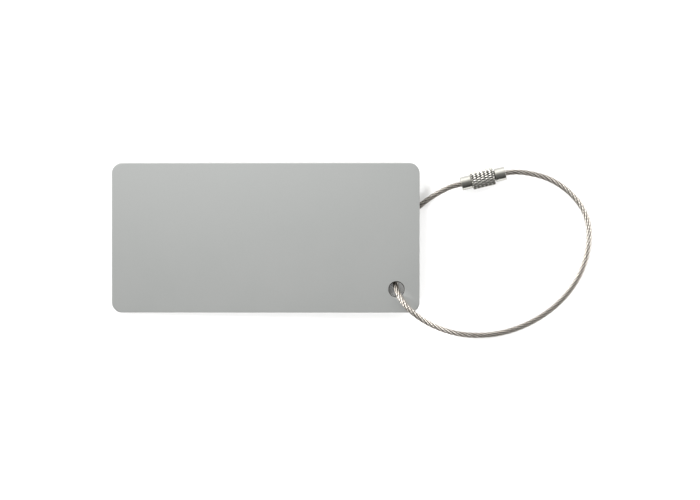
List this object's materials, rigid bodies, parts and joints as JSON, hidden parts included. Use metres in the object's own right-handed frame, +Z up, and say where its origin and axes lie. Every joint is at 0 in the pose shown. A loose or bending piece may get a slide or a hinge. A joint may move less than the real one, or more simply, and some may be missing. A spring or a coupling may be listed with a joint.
{
  "type": "luggage tag",
  "caption": "Flat rectangular metal luggage tag with rounded corners, on a wire rope loop with a knurled screw clasp.",
  "frame": {"origin": "centre of the plate's footprint, on the ground that the tag lies on", "axes": "+X along the plate's long side towards the end with the hole, +Y across the plate, away from the hole's side, +Z up from the ground"},
  "size_m": [0.1332, 0.0485, 0.0069],
  "materials": {
    "plate": "matte, fine-grained",
    "rope": "bright drawn wire",
    "clasp": "polished, knurled nut"
  },
  "bodies": {
    "tag": {"tag_plate": "plate"},
    "loop": {"wire_rope": "rope", "captive_ferrule": "clasp"},
    "nut": {"lock_nut": "clasp"},
    "stud": {"threaded_stud": "clasp"}
  },
  "joints": [
    {"name": "loop_swing", "type": "hinge", "parent": "tag", "child": "loop", "pos_m": [0.03627, -0.0143, 0.00353], "axis": [0, 0, 1], "range_deg": [-75, 16]},
    {"name": "nut_spin", "type": "hinge", "parent": "loop", "child": "nut", "pos_m": [0.0602, 0.01633, 0.0024], "axis": [-0.9707, -0.2402, 0], "range_deg": [0, 2880]},
    {"name": "stud_travel", "type": "slide", "parent": "loop", "child": "stud", "axis": [0.9707, 0.2402, 0], "range_m": [0, 0.004], "deforming": ["wire_rope"]}
  ],
  "couplings": [
    {"joint": "nut_spin", "follows": "stud_travel", "rad_per_m": 12566}
  ]
}
